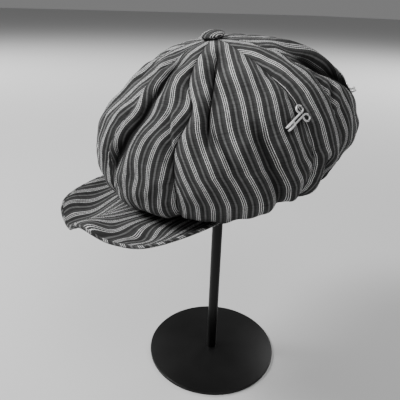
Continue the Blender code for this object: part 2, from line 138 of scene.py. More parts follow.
# Folds along routes of turn and down: how wide they are towards lower and towards higher
# turns, their depth and the height of their shoulders, as shares of the half width, and how
# sharp the crease is, from 0, a soft dip, to 1. Last come how dark the painted shade along its
# bottom is and how far that painted shade reaches to either side, as shares of the smaller width
Fold = namedtuple(
    "Fold", "route before after depth shoulder sharp dark lower upper", defaults=(0.4, 0.7, 1.0),
)
FOLDS = (
    Fold(
        ((2, 0.11), (13, 0.20), (18, 0.31), (17, 0.41), (11, 0.49), (3, 0.57), (-2, 0.68)),
        0.055, 0.075, 0.060, 0.016, 0.5, 1.00, 0.75, 1.7,
    ),
    Fold(
        ((66, 0.08), (58, 0.20), (54.5, 0.31), (52, 0.41), (51, 0.52)),
        0.050, 0.013, 0.065, 0.008, 0.9, 1.0, 0.8, 2.2,
    ),
    Fold(
        ((53, 0.40), (54, 0.45), (57, 0.50), (60, 0.56)),
        0.018, 0.030, 0.020, 0.004, 0.8, 0.5, 0.5, 1.0,
    ),
    Fold(((68, 0.43), (71, 0.50), (73, 0.60), (76, 0.72), (78, 0.88)), 0.050, 0.050, 0.055, 0.010, 0.2),
    Fold(
        ((34, 0.34), (35.5, 0.43), (36.5, 0.48), (37, 0.56)),
        0.030, 0.014, 0.018, 0.004, 0.7, 0.3, 0.6, 1.0,
    ),
    Fold(((6, 0.34), (3, 0.45), (-4, 0.53), (-6, 0.64)), 0.040, 0.040, 0.035, 0.006, 0.5),
    Fold(((96, 0.58), (99, 0.70), (99, 0.86)), 0.050, 0.040, 0.040, 0.008, 0.2),
    Fold(
        ((152, 0.16), (143, 0.28), (138, 0.38), (140, 0.46), (143, 0.58)),
        0.050, 0.075, 0.090, 0.030, 0.3, 0.3, 1.0, 0.9,
    ),
    Fold(
        ((130, 0.20), (121, 0.29), (121, 0.34), (123, 0.39), (128, 0.44), (133, 0.50), (135, 0.60)),
        0.055, 0.080, 0.040, 0.006, 0.2, 0.95, 1.0, 1.9,
    ),
    Fold(((119, 0.40), (112, 0.45), (105, 0.47)), 0.020, 0.026, 0.018, 0.006, 0.5),
    Fold(((188, 0.16), (196, 0.34), (206, 0.50), (206, 0.68)), 0.055, 0.050, 0.055, 0.010, 0.3),
    Fold(((236, 0.20), (244, 0.34), (238, 0.52)), 0.030, 0.060, 0.045, 0.010, 0.5),
    Fold(((286, 0.22), (296, 0.38), (297, 0.56), (304, 0.74)), 0.060, 0.045, 0.055, 0.010, 0.3),
    Fold(((336, 0.18), (344, 0.38), (340, 0.58)), 0.050, 0.040, 0.040, 0.008, 0.3),
    Fold(((262, 0.62), (256, 0.76), (258, 0.90)), 0.045, 0.045, 0.040, 0.008, 0.2),
    Fold(((322, 0.60), (328, 0.74), (326, 0.90)), 0.045, 0.045, 0.040, 0.008, 0.2),
    Fold(((172, 0.56), (178, 0.72), (178, 0.90)), 0.045, 0.045, 0.045, 0.008, 0.2),
    Fold(((222, 0.60), (226, 0.75), (224, 0.88)), 0.045, 0.045, 0.035, 0.008, 0.2),
)

# Waves of the peak: place and size as shares of its half span and of the way out, with
# the lift and the pull away from the band at their strongest, as shares of its length
Wave = namedtuple("Wave", "side reach side_size reach_size lift pull")
PEAK_WAVES = (
    Wave(-0.84, 0.95, 0.26, 0.40, 0.160, 0.05),
    Wave(-0.50, 1.00, 0.30, 0.70, 0.020, 0.27),
    Wave(-0.34, 0.75, 0.18, 0.50, -0.060, 0.00),
    Wave(-0.20, 1.00, 0.13, 0.50, -0.120, 0.00),
    Wave(0.04, 0.90, 0.10, 0.50, 0.090, 0.00),
    Wave(0.24, 0.60, 0.20, 0.30, 0.060, 0.00),
    Wave(0.30, 1.00, 0.34, 0.26, -0.045, -0.18),
    Wave(-0.33, 0.60, 0.15, 0.22, -0.045, 0.00),
    Wave(-0.48, 0.95, 0.18, 0.20, 0.060, 0.00),
    Wave(0.02, 0.98, 0.13, 0.24, 0.080, 0.06),
    Wave(0.44, 0.72, 0.18, 0.26, -0.060, 0.00),
)

# Bends of the stripes on the peak: place and size as for its waves, and the shift in metres
Bend = namedtuple("Bend", "side reach side_size reach_size shift")
PEAK_BENDS = (
    Bend(-0.02, 0.95, 0.16, 0.24, 0.022),
    Bend(0.45, 0.75, 0.18, 0.22, -0.008),
    Bend(-0.42, 0.90, 0.16, 0.22, 0.006),
)

# Wire hooks: place and heading, as degrees from straight down the panel
Hook = namedtuple("Hook", "name turn down heading")
HOOKS = (
    Hook("hook_side", 89.7, 0.451, 70.0),
    Hook("hook_back", 145.0, 0.51, 105.0),
)

# Stitches that hold a hook: place along and across its shaft, and how each ring is turned
Stitch = namedtuple("Stitch", "along across turn")
STITCHES = (
    Stitch(0.0, 0.0077, 0.2),
    Stitch(0.0030, 0.0046, 1.5),
    Stitch(0.0, -0.0077, 2.9),
    Stitch(0.0030, -0.0046, 1.6),
)

# Height over the cloth that a hook is set down from, the length of its shaft along which a
# shadow is painted on the cloth and how far that painted shadow reaches
HOOK_ABOVE, HOOK_SHAFT, HOOK_SHADOW_REACH = 0.021, 0.018, 0.0050

# Heights of the slack cloth's ripples, of the gathers at the band and of the pucker at the
# seams, and how far from a seam the seam holds the cloth
RIPPLE, GATHER, PUCKER, SEAM_HOLD = 0.006, 0.0007, 0.0004, 0.006

# How dark the shade painted at the crown's hem and round the hooks is, and how dark and wide a seam is
SHADE_PAINT_STRENGTH, SEAM_DARK, SEAM_LINE = 0.9, 0.35, 0.0012

# Share of a fold's depth that the stripes run into
FOLD_TAKE = 0.35

# The camera: its lens, its place, the side and the height it looks from, and how far it leans
CAMERA_LENS = 38.97
CAMERA_PLACE = (0.3916, -0.2714, 0.4384)
CAMERA_SIDE, CAMERA_DIP, CAMERA_LEAN = 58.0, 24.0786, 1.9308

# Lights: where each stands, the spot it faces, its width and the setting with its power
Light = namedtuple("Light", "name place target size power")
LIGHTS = (
    Light("key", (-0.55, -0.95, 1.22), (0.0, 0.0, 0.30), 0.50, "key"),
    Light("fill", (0.55, -0.10, 1.20), (0.0, 0.0, 0.30), 0.60, "fill"),
    Light("back left", (-2.9, -0.6, 2.0), (-3.4, 0.8, 0.0), 2.0, "back"),
    Light("back right", (-0.9, 2.9, 2.0), (-2.2, 2.8, 0.0), 2.0, "back"),
)

# How far the stripes of each gore drift sideways, in millimetres, at levels on the way from
# the button to the band
DRIFT_LEVELS = (0.05, 0.25, 0.40, 0.55, 0.70, 1.00)
Drift = namedtuple("Drift", "button upper middle widest lower band")
DRIFTS = (
    Drift(-10, -10, -11, -18, -27, -28),
    Drift(11, 5, 0, 13, 28, 34),
    Drift(-3, 5, 4, 6, 7, 8),
    Drift(-1, -1, -1, -3, -1, -1),
    Drift(0, 1, 2, 2, 1, 0),
    Drift(0, 1, 2, 2, 1, 0),
    Drift(0, 1, 2, 2, 1, 0),
    Drift(2, 10, 15, 12, 10, 10),
)


def length(name, words, default):
    """A length that a user can set."""
    return FloatProperty(
        name=name, description=words, default=default, unit="LENGTH", subtype="DISTANCE",
    )


def share(name, words, default):
    """A plain share that a user can set."""
    return FloatProperty(name=name, description=words, default=default, min=0.0)


def power(name, words, default):
    """A light's power that a user can set."""
    return FloatProperty(name=name, description=words, default=default, unit="POWER")


def grey(name, words, value):
    """A colour that a user can set, neutral by default."""
    return FloatVectorProperty(
        name=name, description=words, default=(value, value, value, 1.0), size=4,
        subtype="COLOR", min=0.0, max=1.0,
    )


class CapSizes(bpy.types.PropertyGroup):
    """Sizes of the cap, in its own level frame."""

    crown_width: length("Crown width", "Width of the crown at its widest line", 0.274)
    crown_rise: length("Crown rise", "Height of the crown over its widest line", 0.087)
    crown_drop: length("Crown drop", "Depth of the crown below its widest line", 0.053)
    cloth: length("Cloth wall", "Thickness of a gore with its lining", 0.0018)
    gap: length("Gap", "Clearance between two gores", 0.0003)
    tip: FloatProperty(
        name="Tip", description="How far the cap is tipped forward", default=radians(12.0),
        unit="ROTATION", subtype="ANGLE",
    )
    forward: length("Forward", "How far the cap sits before the post", 0.001)
    left: length("Left", "How far the cap sits to the wearer's left of the post", 0.002)
    head_length: length("Head length", "Head opening from front to back, outside", 0.198)
    head_width: length("Head width", "Head opening from side to side, outside", 0.174)
    head_forward: length("Head forward", "How far the head opening sits forward", 0.004)
    band_wall: length("Band wall", "Thickness of the headband", 0.0025)
    band_above: length("Band above", "Height of the band over the crown's edge", 0.006)
    band_below: length("Band below", "Height of the band below the crown's edge", 0.020)
    puff: length("Puff", "How far a gore swells between its seams", 0.0050)
    sink: length("Seam sink", "How deep a seam draws the cloth in", 0.0030)
    sink_width: length("Seam width", "How far from a seam the cloth is drawn in", 0.0075)
    columns: IntProperty(name="Columns", description="Faces across a gore", default=96, min=8)
    rows: IntProperty(name="Rows", description="Faces down a gore", default=176, min=8)
    button: length("Button", "Width of the covered button", 0.025)
    button_height: length("Button height", "Height of the covered button", 0.0085)


class PeakSizes(bpy.types.PropertyGroup):
    """Sizes of the peak."""

    width: length("Width", "Width of the peak across its corners", 0.174)
    reach: length("Reach", "How far the peak sticks out at its middle", 0.084)
    wall: length("Wall", "Thickness of the padded peak", 0.0028)
    span: FloatProperty(
        name="Span", description="Part of the band that the peak is sewn to",
        default=radians(132.0), unit="ROTATION", subtype="ANGLE",
    )
    fall: length("Fall", "How far the rim drops below the root", 0.002)
    piping: length("Piping", "Thickness of the piped edge", 0.0034)
    crowd: share("Crowd", "How much closer the stripes lie on the peak than on the crown", 1.3)


class ClothLook(bpy.types.PropertyGroup):
    """Colours and scale of the striped cloth."""

    repeat: length("Repeat", "Width of one repeat of the stripes", 0.0139)
    thread: length("Thread", "Spacing of the threads", 0.0008)
    ground: grey("Ground", "Dark ground between the stripes", 0.040)
    band: grey("Band", "Light band under the pin lines", 0.060)
    pin: grey("Pin", "Bright pin lines in the band", 1.0)
    line: grey("Line", "Soft single line between bands", 0.165)
    lining: grey("Lining", "Lining inside the crown", 0.018)


class StandSizes(bpy.types.PropertyGroup):
    """Sizes of the stand."""

    base: length("Base", "Width of the disc foot", 0.170)
    base_thickness: length("Base thickness", "Thickness of the disc foot", 0.0035)
    edge: length("Edge", "Rounding of the disc's upper edge", 0.0008)
    post: length("Post", "Width of the post", 0.013)
    post_length: length("Post length", "Length of the post", 0.385)
    top: length("Top", "Width of the domed plate under the cap", 0.096)
    top_rim: length("Top rim", "Height of the plate's upright rim", 0.004)
    top_dome: length("Top dome", "Height of the plate's dome", 0.013)
    gap: length("Gap", "Clearance between the stand's pieces", 0.0003)


class StageLook(bpy.types.PropertyGroup):
    """Floor and light."""

    floor: grey("Floor", "Pale floor", 0.62)
    key: power("Key", "Power of the key light", 27.5)
    fill: power("Fill", "Power of the fill light", 3.5)
    back: power("Back", "Power of each light on the floor behind", 110.0)
    sky: share("Sky", "Strength of the even light from all round", 0.20)


def sizes():
    """All groups of settings, by short names."""
    scene = bpy.context.scene
    return scene.cap_sizes, scene.peak_sizes, scene.cloth_look, scene.stand_sizes


# Shapes of the cap


def ease(value):
    """0 below 0, 1 above 1, and a smooth rise between."""
    value = np.clip(value, 0.0, 1.0)
    return value * value * (3.0 - 2.0 * value)


def bump(offset, size):
    """A smooth hump, 1 in the middle and near 0 two sizes away."""
    return np.exp(-(offset / size) ** 2)


def turn_offset(turn, other):
    """Signed difference of two turns in degrees, at most half a circle."""
    return (turn - other + 180.0) % 360.0 - 180.0


def smooth(spots, values, at):
    """Smooth values at places between spots, through one value at each spot."""
    last = len(spots) - 1
    row = np.clip(np.searchsorted(spots, at) - 1, 0, last - 1)
    before, beyond = np.maximum(row - 1, 0), np.minimum(row + 2, last)
    width = spots[row + 1] - spots[row]
    place = (at - spots[row]) / width
    first = (values[row + 1] - values[before]) / (spots[row + 1] - spots[before]) * width
    second = (values[beyond] - values[row]) / (spots[beyond] - spots[row]) * width
    square, cube = place ** 2, place ** 3
    return (
        (2 * cube - 3 * square + 1) * values[row]
        + (cube - 2 * square + place) * first
        + (3 * square - 2 * cube) * values[row + 1]
        + (cube - square) * second
    )


def along(table, at, name):
    """Smooth values of one column of a table, at places in its first column."""
    spots = np.array([row[0] for row in table], float)
    values = np.array([getattr(row, name) for row in table], float)
    return smooth(spots, values, np.asarray(at, float))


def heading(turn):
    """Level unit vectors that point from the cap's axis towards turns."""
    turn = np.radians(turn)
    return np.stack([np.sin(turn), -np.cos(turn), np.zeros_like(turn)], -1)


def band_points(turn, grow=0.0):
    """Points of the band's outer face, seen from above."""
    cap = bpy.context.scene.cap_sizes
    way = heading(turn)
    half = np.array([cap.head_width / 2 + grow, cap.head_length / 2 + grow, 0.0])
    return way * half - np.array([0.0, cap.head_forward, 0.0])


def crown_base(turn, down):
    """Points of the crown's outer face before seams, swellings and folds."""
    cap = bpy.context.scene.cap_sizes
    turn, down = np.broadcast_arrays(np.asarray(turn, float), np.asarray(down, float))
    spread = along(CROWN_SECTIONS, down, "spread") * cap.crown_width / 2
    rise = along(CROWN_SECTIONS, down, "rise")
    gather = along(CROWN_SECTIONS, down, "gather")[..., None]
    place = heading(turn) * spread[..., None] * (1.0 - gather) + band_points(turn, cap.gap) * gather
    place[..., 2] = rise * np.where(rise > 0, cap.crown_rise, cap.crown_drop)
    return place


def crown_normal(turn, down):
    """Outward unit normals of the plain crown."""
    step, level_step = 0.5, 0.01
    turn, down = np.broadcast_arrays(np.asarray(turn, float), np.asarray(down, float))
    level = np.clip(down, level_step, 1.0 - level_step)
    across = crown_base(turn + step, level) - crown_base(turn - step, level)
    lengthwise = crown_base(turn, level + level_step) - crown_base(turn, level - level_step)
    normal = np.cross(lengthwise, across)
    return normal / np.linalg.norm(normal, axis=-1, keepdims=True)


def fold_offset(points, normals, route):
    """Signed distance of points from a fold, and the share of the way along it."""
    steps = 24
    spots = np.arange(len(route), dtype=float)
    at = np.linspace(0.0, spots[-1], steps + 1)
    turn, down = (smooth(spots, np.array(column, float), at) for column in zip(*route))
    line = crown_base(turn, down)
    nearest = np.full(points.shape[:-1], 1e9)
    signed = np.zeros(points.shape[:-1])
    where = np.zeros(points.shape[:-1])
    for index in range(steps):
        start, run = line[index], line[index + 1] - line[index]
        part = np.clip((points - start) @ run / (run @ run), 0.0, 1.0)
        away = points - start - part[..., None] * run
        gap = np.linalg.norm(away, axis=-1)
        side = np.sign((away * np.cross(normals, run)).sum(-1))
        closer = gap < nearest
        nearest = np.where(closer, gap, nearest)
        signed = np.where(closer, gap * side, signed)
        where = np.where(closer, (index + part) / steps, where)
    return signed, where


def crown_relief(turn, down):
    """Height of swellings and folds over the plain crown, and the shade painted into the folds."""
    cap = bpy.context.scene.cap_sizes
    half = cap.crown_width / 2
    place, normals = crown_base(turn, down), crown_normal(turn, down)
    height, hollow = np.zeros((2,) + place.shape[:-1])
    for swell in SWELLS:
        sideways = bump(turn_offset(turn, swell.turn), swell.turn_size)
        height += swell.height * half * sideways * bump(down - swell.down, swell.down_size)
    for fold in FOLDS:
        if np.abs(turn_offset(turn, fold.route[1][0])).min() > 60.0:
            continue
        offset, where = fold_offset(place, normals, fold.route)
        ends = ease(where / 0.22) * ease((1.0 - where) / 0.22)
        reach = np.abs(offset) / (np.where(offset < 0, fold.before, fold.after) * half)
        soft = np.exp(-reach ** 2)
        crisp = np.exp(-1.5 * (np.sqrt(reach ** 2 + 0.02) - 0.14))
        dip = soft + (crisp - soft) * fold.sharp
        shoulder = np.exp(-((reach - 2.0) / 0.8) ** 2)
        height += half * ends * (fold.shoulder * shoulder - fold.depth * dip)
        size = np.minimum(fold.before, fold.after) * half
        size = np.where(offset < 0, fold.lower, fold.upper) * size
        # painted shade: the colour is darkened along the bottom of each fold, where shade falls
        hollow = np.maximum(hollow, ends * fold.dark * bump(offset, size))
    level = ease(down / 0.08) * ease((1.0 - down) / 0.18)
    return height * level, hollow * level


def gathers(turn, down):
    """Small uneven gathers where the crown turns in to the band, from 0 to about 1."""
    wave = np.sin(np.radians(turn * 41) + 2.0 * np.sin(np.radians(turn * 3)))
    wave = wave + 0.8 * np.sin(np.radians(turn * 29) + 1.0 + 1.5 * np.sin(np.radians(turn * 5)))
    return wave * ease((down - 0.70) / 0.14) * ease((1.0 - down) / 0.10)


def ripples(turn, down, seed):
    """Small uneven ripples of slack cloth, in metres, from a few crossed waves."""
    chance = np.random.default_rng(seed)
    total = np.zeros(np.broadcast(turn, down).shape)
    for _ in range(16):
        tall = chance.uniform(3.0, 11.0)
        waves = chance.integers(4, 22)
        phase, drift = chance.uniform(0.0, 2 * pi, 2)
        weight = chance.uniform(0.5, 1.0) / (tall + waves * 0.5)
        level = np.sin(tall * down * 2 * pi + drift)
        total += weight * level * np.sin(np.radians(turn * waves) + phase)
    return total


def seam_turn(number, down):
    """Turns of a seam at levels of the crown."""
    seam = SEAMS[number % len(SEAMS)]
    above = ease(down / WIDEST_DOWN)
    below = ease((down - WIDEST_DOWN) / (HEM_DOWN - WIDEST_DOWN))
    turn = seam.button + (seam.widest - seam.button) * above + (seam.band - seam.widest) * below
    turn = turn + seam.sway * bump(down - SWAY_DOWN, SWAY_SIZE)
    return turn + 360.0 * (number // len(SEAMS))


def panel_turns(number, across, down):
    """Turns of places on a gore, and the gore's width there, in metres."""
    cap = bpy.context.scene.cap_sizes
    first, second = seam_turn(number, down), seam_turn(number + 1, down)
    middle = crown_base((first + second) / 2, down)
    radius = np.linalg.norm(middle[..., :2], axis=-1)
    inset = np.degrees(cap.gap / 2 / radius)
    first, second = first + inset, second - inset
    return first + (second - first) * across, np.radians(second - first) * radius


def hook_frame(hook):
    """Where a hook's loops sit, the way out of the cloth and the way along its shaft."""
    spot = Vector(crown_base(hook.turn, hook.down))
    up = Vector(crown_normal(hook.turn, hook.down))
    downwards = Vector(crown_base(hook.turn, hook.down + 0.01)) - spot
    downwards = (downwards - up * downwards.dot(up)).normalized()
    return spot, up, Matrix.Rotation(radians(-hook.heading), 3, up) @ downwards


def panel_points(number, across, down):
    """Points of a gore without its folds, their normals, the lift of the folds and the painted shade on
    the gore.
    """
    cap = bpy.context.scene.cap_sizes
    turn, width = panel_turns(number, across, down)
    from_seam = np.minimum(across, 1.0 - across) * width
    puff = cap.puff * (4.0 * across * (1.0 - across)) ** 0.7
    sink = cap.sink * np.exp(-from_seam / cap.sink_width)
    level = ease(down / 0.30) * ease((1.0 - down) / 0.16)
    relief, hollow = crown_relief(turn, down)
    free = level * ease(from_seam / SEAM_HOLD)
    relief += RIPPLE * ripples(turn, down, 11) * free + GATHER * gathers(turn, down) * free
    pucker = np.sin(down * 150.0 + 2.0 * number) * np.exp(-from_seam / SEAM_HOLD)
    relief += PUCKER * pucker * level * ease(from_seam / 0.002)
    normals = crown_normal(turn, down)
    plain = crown_base(turn, down) + normals * ((puff - sink) * level)[..., None]
    hollow += SEAM_DARK * np.exp(-from_seam / SEAM_LINE) * level
    # painted shade at the hem, where the crown turns in under itself
    hollow = np.maximum(hollow, SHADE_PAINT_STRENGTH * ease((down - 0.71) / 0.14))
    # painted shadow on the cloth round each hook's shaft
    for hook in HOOKS:
        start, _, run = (np.array(part) for part in hook_frame(hook))
        away = plain - start
        away = away - normals * (away * normals).sum(-1)[..., None]
        along_shaft = np.clip(away @ run, 0.0, HOOK_SHAFT)[..., None] * run
        apart = np.linalg.norm(away - along_shaft, axis=-1)
        hollow = np.maximum(hollow, SHADE_PAINT_STRENGTH * bump(apart, HOOK_SHADOW_REACH))
    return plain, normals, relief[..., None], np.clip(hollow, 0.0, 1.0)


def cap_place():
    """Matrix of the cap's frame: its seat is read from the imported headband."""
    cap = bpy.context.scene.cap_sizes
    tip = Matrix.Rotation(cap.tip, 4, "X")
    bottom = crown_base(0.0, 1.0)[2] - cap.band_below
    ring = band_points(np.linspace(0.0, 360.0, 56, endpoint=False))
    lowest = min((tip @ Vector((point[0], point[1], bottom))).z for point in ring)
    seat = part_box("headband")[0].z - lowest
    return Matrix.Translation((cap.left, -cap.forward, seat)) @ tip


def placed(points):
    """Points of the cap's frame, in the world."""
    place = np.array(cap_place())
    return points @ place[:3, :3].T + place[:3, 3]


# Meshes


def grid_faces(rows, columns, first=0, flip=False, closed=False):
    """Faces of a grid of points, row after row, closed round its columns if asked."""
    row, column = np.meshgrid(np.arange(rows), np.arange(columns), indexing="ij")
    wide = columns if closed else columns + 1
    corner = first + row * wide + column
    beside = first + row * wide + (column + 1) % wide
    faces = np.stack([corner, corner + wide, beside + wide, beside], -1).reshape(-1, 4)
    return faces[:, ::-1] if flip else faces


def mesh_piece(name, points, faces, uv, materials, parts=None):
    """An object from points, faces and one cloth coordinate for each point."""
    mesh = bpy.data.meshes.new(name)
    loops = [tuple(int(index) for index in face) for face in faces]
    mesh.from_pydata([tuple(point) for point in points], [], loops)
    layer = mesh.uv_layers.new(name="cloth")
    corners = np.zeros(len(mesh.loops), np.int32)
    mesh.loops.foreach_get("vertex_index", corners)
    layer.data.foreach_set("uv", uv[corners].astype(np.float32).ravel())
    for material in materials:
        mesh.materials.append(material)
    if parts is not None:
        mesh.polygons.foreach_set("material_index", parts.astype(np.int32))
    mesh.shade_smooth()
    mesh.update()
    piece = bpy.data.objects.new(name, mesh)
    bpy.context.scene.collection.objects.link(piece)
    return piece


def wall(name, outer, inner, uv, materials):
    """A closed sheet from two grids of points, the second material on its inner face."""
    rows, columns = outer.shape[0] - 1, outer.shape[1] - 1
    layer = outer.shape[0] * outer.shape[1]
    points = np.concatenate([outer.reshape(-1, 3), inner.reshape(-1, 3)])
    front = grid_faces(rows, columns)
    back = grid_faces(rows, columns, layer, True)
    rim = list(range(columns + 1))
    rim += [row * (columns + 1) + columns for row in range(1, rows + 1)]
    rim += [rows * (columns + 1) + column for column in range(columns - 1, -1, -1)]
    rim += [row * (columns + 1) for row in range(rows - 1, 0, -1)]
    rim = np.array(rim)
    after = np.roll(rim, -1)
    edge = np.stack([rim, after, layer + after, layer + rim], -1)
    faces = np.concatenate([front, back, edge])
    parts = np.zeros(len(faces), int)
    if len(materials) > 1:
        parts[len(front):len(front) + len(back)] = 1
    return mesh_piece(name, points, faces, np.tile(uv.reshape(-1, 2), (2, 1)), materials, parts)


def paint_shade(piece, values):
    """Give each point of a piece a value from 0 to 1 of painted shade, how much its colour is darkened.
    """
    layer = piece.data.attributes.new("hollow", "FLOAT", "POINT")
    layer.data.foreach_set("value", values.astype(np.float32))


def run_lengths(points, axis):
    """Distance along a grid of points from its first row or column."""
    steps = np.linalg.norm(np.diff(points, axis=axis), axis=-1)
    start = np.zeros_like(np.take(steps, [0], axis=axis))
    return np.cumsum(np.concatenate([start, steps], axis=axis), axis=axis)


def tree_of(pieces):
    """Search tree of pieces, as they are shown."""
    bpy.context.view_layer.update()
    depsgraph = bpy.context.evaluated_depsgraph_get()
    points, faces = [], []
    for piece in pieces:
        shape = piece.evaluated_get(depsgraph)
        mesh = shape.to_mesh()
        first = len(points)
        points += [piece.matrix_world @ vertex.co for vertex in mesh.vertices]
        faces += [[first + index for index in face.vertices] for face in mesh.polygons]
        shape.to_mesh_clear()
    return BVHTree.FromPolygons(points, faces)


def deselect():
    """Leave edit mode and select nothing."""
    if bpy.context.object is not None and bpy.context.object.mode != "OBJECT":
        bpy.ops.object.mode_set(mode="OBJECT")
    bpy.ops.object.select_all(action="DESELECT")


def settle(piece, name, material):
    """Name a piece, apply its place and give it its material."""
    deselect()
    piece.select_set(True)
    bpy.context.view_layer.objects.active = piece
    bpy.ops.object.transform_apply(location=True, rotation=True, scale=True)
    piece.name = name
    piece.data.name = name
    piece.data.materials.clear()
    piece.data.materials.append(material)
    return piece


def carry(piece, slot, *nodes):
    """Let a piece ride on the body and stand for nodes, which are hidden; the slot is not used."""
    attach(piece, "root")
    if nodes:
        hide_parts(*nodes)
    return piece


# Materials


def calc(tree, operation, first, second=None, third=None):
    """A Math node on sockets or numbers, as the socket of its result."""
    node = tree.nodes.new("ShaderNodeMath")
    node.operation = operation
    for index, value in enumerate((first, second, third)):
        if value is None:
            continue
        if isinstance(value, bpy.types.NodeSocket):
            tree.links.new(value, node.inputs[index])
        else:
            node.inputs[index].default_value = value
    return node.outputs[0]


def ramp(tree, factor, stops):
    """A ramp of plain values over places, as the socket of its result."""
    node = tree.nodes.new("ShaderNodeValToRGB")
    tree.links.new(factor, node.inputs[0])
    marks = node.color_ramp.elements
    while len(marks) > 1:
        marks.remove(marks[-1])
    marks[0].position = stops[0][0]
    marks[0].color = (stops[0][1],) * 3 + (1.0,)
    for place, value in stops[1:]:
        mark = marks.new(place)
        mark.color = (value,) * 3 + (1.0,)
    return node.outputs[0]


def mix_colour(tree, factor, first, second, kind="MIX"):
    """A Mix node on colours, as the socket of its result."""
    node = tree.nodes.new("ShaderNodeMix")
    node.data_type = "RGBA"
    node.blend_type = kind
    for socket, value in zip((node.inputs[0], node.inputs[6], node.inputs[7]), (factor, first, second)):
        if isinstance(value, bpy.types.NodeSocket):
            tree.links.new(value, socket)
        else:
            socket.default_value = value
    return node.outputs[2]


def noise(tree, vector, scale, detail=3.0, rough=0.55):
    """A Noise node's value."""
    node = tree.nodes.new("ShaderNodeTexNoise")
    node.inputs["Scale"].default_value = scale
    node.inputs["Detail"].default_value = detail
    node.inputs["Roughness"].default_value = rough
    tree.links.new(vector, node.inputs["Vector"])
    return node.outputs["Fac"]


def stretch(tree, vector, scale):
    """A vector scaled along each axis."""
    node = tree.nodes.new("ShaderNodeVectorMath")
    node.operation = "MULTIPLY"
    tree.links.new(vector, node.inputs[0])
    node.inputs[1].default_value = scale
    return node.outputs[0]


def group_tree(name, inputs, outputs):
    """A new node group with named sockets, its own input node and its output node."""
    tree = bpy.data.node_groups.new(name, "ShaderNodeTree")
    for socket, kind, default in inputs:
        made = tree.interface.new_socket(name=socket, in_out="INPUT", socket_type=f"NodeSocket{kind}")
        if default is not None:
            made.default_value = default
    for socket, kind in outputs:
        tree.interface.new_socket(name=socket, in_out="OUTPUT", socket_type=f"NodeSocket{kind}")
    return tree, tree.nodes.new("NodeGroupInput"), tree.nodes.new("NodeGroupOutput")


def weave_group():
    """Woven cloth: height and shade of crossing threads with slubs."""
    name = "Weave"
    if name in bpy.data.node_groups:
        return bpy.data.node_groups[name]
    tree, inlet, outlet = group_tree(
        name,
        [("Cloth", "Vector", None), ("Thread", "Float", 0.0008)],
        [("Height", "Float"), ("Shade", "Float")],
    )
    apart = tree.nodes.new("ShaderNodeSeparateXYZ")
    tree.links.new(inlet.outputs["Cloth"], apart.inputs[0])
    turns = calc(tree, "DIVIDE", 2 * pi, inlet.outputs["Thread"])
    warp = calc(tree, "SINE", calc(tree, "MULTIPLY", apart.outputs["X"], turns))
    weft = calc(tree, "SINE", calc(tree, "MULTIPLY", apart.outputs["Y"], turns))
    cross = calc(tree, "MULTIPLY", warp, weft)
    slub_down = noise(tree, stretch(tree, inlet.outputs["Cloth"], (2200.0, 90.0, 1.0)), 1.0, 2.0)
    slub_across = noise(tree, stretch(tree, inlet.outputs["Cloth"], (70.0, 1700.0, 1.0)), 1.0, 2.0)
    slubs = calc(tree, "ADD", slub_down, slub_across)
    height = calc(tree, "MULTIPLY_ADD", cross, 0.5, calc(tree, "MULTIPLY", slubs, 0.7))
    shade = calc(tree, "MULTIPLY_ADD", slubs, 1.6, -0.58)
    tree.links.new(height, outlet.inputs["Height"])
    tree.links.new(shade, outlet.inputs["Shade"])
    return tree


def stripe_group():
    """Repeating stripes: a light band with three pin lines, then one soft line."""
    name = "Stripes"
    if name in bpy.data.node_groups:
        return bpy.data.node_groups[name]
    look = bpy.context.scene.cloth_look
    tree, inlet, outlet = group_tree(
        name,
        [
            ("Cloth", "Vector", None), ("Repeat", "Float", look.repeat),
            ("Ground", "Color", tuple(look.ground)), ("Band", "Color", tuple(look.band)),
            ("Pin", "Color", tuple(look.pin)), ("Line", "Color", tuple(look.line)),
        ],
        [("Color", "Color"), ("Light", "Float")],
    )
    apart = tree.nodes.new("ShaderNodeSeparateXYZ")
    tree.links.new(inlet.outputs["Cloth"], apart.inputs[0])
    wander = noise(tree, stretch(tree, inlet.outputs["Cloth"], (60.0, 45.0, 1.0)), 1.0, 2.0)
    wander = calc(tree, "MULTIPLY", calc(tree, "SUBTRACT", wander, 0.5), 0.045)
    across = calc(tree, "DIVIDE", apart.outputs["X"], inlet.outputs["Repeat"])
    place = calc(tree, "FRACT", calc(tree, "ADD", calc(tree, "ADD", across, 0.17), wander))
    band = ramp(tree, place, ((0.0, 0.0), (0.015, 1.0), (0.325, 1.0), (0.345, 0.0)))
    soft = ramp(
        tree, place,
        (
            (0.34, 0.20), (0.44, 0.0), (0.57, 0.0), (0.63, 1.0),
            (0.68, 1.0), (0.75, 0.0), (0.82, 0.08), (0.94, 0.30),
        ),
    )
    count = calc(tree, "DIVIDE", place, 0.113)
    rank = calc(tree, "FLOOR", count)
    beside = calc(tree, "ABSOLUTE", calc(tree, "SUBTRACT", calc(tree, "FRACT", count), 0.5))
    twill = calc(tree, "MULTIPLY_ADD", rank, 0.37, calc(tree, "DIVIDE", apart.outputs["Y"], 0.0021))
    twill = calc(tree, "ABSOLUTE", calc(tree, "SUBTRACT", calc(tree, "FRACT", twill), 0.5))
    pins = ramp(tree, calc(tree, "MULTIPLY_ADD", twill, 0.20, beside), ((0.15, 1.0), (0.25, 0.0)))
    broken = noise(tree, stretch(tree, inlet.outputs["Cloth"], (300.0, 700.0, 1.0)), 1.0, 2.0)
    broken = ramp(tree, broken, ((0.30, 0.55), (0.50, 1.0)))
    pins = calc(tree, "MULTIPLY", calc(tree, "MULTIPLY", pins, band), broken)
    colour = mix_colour(tree, soft, inlet.outputs["Ground"], inlet.outputs["Line"])
    colour = mix_colour(tree, band, colour, inlet.outputs["Band"])
    colour = mix_colour(tree, pins, colour, inlet.outputs["Pin"])
    tree.links.new(colour, outlet.inputs["Color"])
    tree.links.new(calc(tree, "MAXIMUM", pins, calc(tree, "MULTIPLY", band, 0.5)), outlet.inputs["Light"])
    return tree


